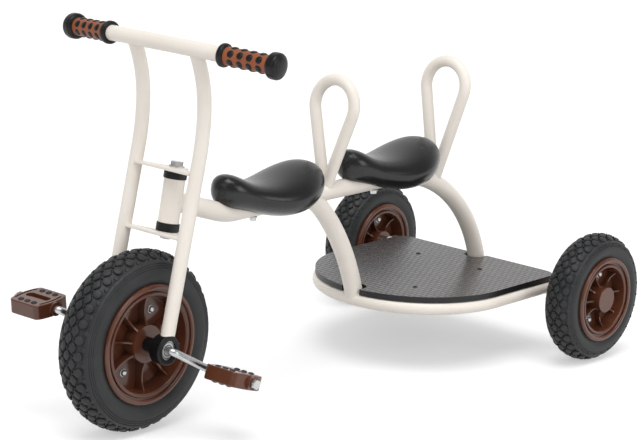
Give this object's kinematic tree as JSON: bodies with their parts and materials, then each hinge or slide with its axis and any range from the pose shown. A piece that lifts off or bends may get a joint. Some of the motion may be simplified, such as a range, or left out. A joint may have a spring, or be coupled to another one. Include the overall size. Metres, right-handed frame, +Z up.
{
  "type": "child's two-seat tricycle",
  "caption": "Child's tricycle with front pedals, a saddle for the rider, a passenger saddle behind it and a low step board between the rear wheels.",
  "frame": {"origin": "on the ground under the middle of the outer box", "axes": "+X forward, +Y to the rider's left, +Z up"},
  "size_m": [1.005, 0.513, 0.5594],
  "materials": {
    "cream_paint": "satin off-white powder coat",
    "zinc_steel": "bright zinc plate",
    "tyre": "matt moulded rubber",
    "brown_plastic": "moulded brown plastic",
    "caramel_grip": "soft moulded grip",
    "dark_board": "film-faced plywood with a fine mesh",
    "black_foam": "smooth skinned foam",
    "black_plastic": "moulded black plastic"
  },
  "bodies": {
    "frame_body": {"axle_tube": "cream_paint", "front_loop": "cream_paint", "front_seat": "black_foam", "head_tube": "cream_paint", "left_stub_axle": "zinc_steel", "lower_bush": "black_plastic", "main_tube": "cream_paint", "rear_loop": "cream_paint", "rear_seat": "black_foam", "rear_tube": "cream_paint", "right_stub_axle": "zinc_steel", "rim_tube": "cream_paint", "step_board": "dark_board", "upper_bush": "black_plastic"},
    "fork_body": {"handlebar": "cream_paint", "left_bearing": "zinc_steel", "left_grip": "caramel_grip", "left_grip_cap": "black_plastic", "left_grip_ring": "black_plastic", "left_housing": "black_plastic", "left_leg": "cream_paint", "lower_plate": "cream_paint", "pivot_bolt": "zinc_steel", "pivot_nut": "zinc_steel", "right_bearing": "zinc_steel", "right_grip": "caramel_grip", "right_grip_cap": "black_plastic", "right_grip_ring": "black_plastic", "right_housing": "black_plastic", "right_leg": "cream_paint", "upper_plate": "cream_paint"},
    "front_wheel_body": {"crank": "zinc_steel", "front_rim": "brown_plastic", "front_tyre": "tyre", "left_spacer": "black_plastic", "pedal_nuts": "zinc_steel", "right_spacer": "black_plastic"},
    "left_pedal_body": {"left_pedal": "brown_plastic"},
    "right_pedal_body": {"right_pedal": "brown_plastic"},
    "rear_left_wheel_body": {"rear_left_cap": "brown_plastic", "rear_left_rim": "brown_plastic", "rear_left_tyre": "tyre"},
    "rear_right_wheel_body": {"rear_right_cap": "brown_plastic", "rear_right_rim": "brown_plastic", "rear_right_tyre": "tyre"}
  },
  "joints": [
    {"name": "steering", "type": "hinge", "parent": "frame_body", "child": "fork_body", "pos_m": [0.30757, 0, 0.32], "axis": [-0.1702, 0, 0.9854], "range_deg": [-45, 45]},
    {"name": "front_wheel_spin", "type": "hinge", "parent": "fork_body", "child": "front_wheel_body", "pos_m": [0.3725, 0, 0.13], "axis": [0, 1, 0], "continuous": true},
    {"name": "left_pedal_spin", "type": "hinge", "parent": "front_wheel_body", "child": "left_pedal_body", "pos_m": [0.31075, 0.131, 0.09435], "axis": [0, 1, 0], "continuous": true},
    {"name": "right_pedal_spin", "type": "hinge", "parent": "front_wheel_body", "child": "right_pedal_body", "pos_m": [0.43425, -0.131, 0.16565], "axis": [0, 1, 0], "continuous": true},
    {"name": "rear_left_spin", "type": "hinge", "parent": "frame_body", "child": "rear_left_wheel_body", "pos_m": [-0.4015, 0.2275, 0.101], "axis": [0, 1, 0], "continuous": true},
    {"name": "rear_right_spin", "type": "hinge", "parent": "frame_body", "child": "rear_right_wheel_body", "pos_m": [-0.4015, -0.2275, 0.101], "axis": [0, 1, 0], "continuous": true}
  ]
}
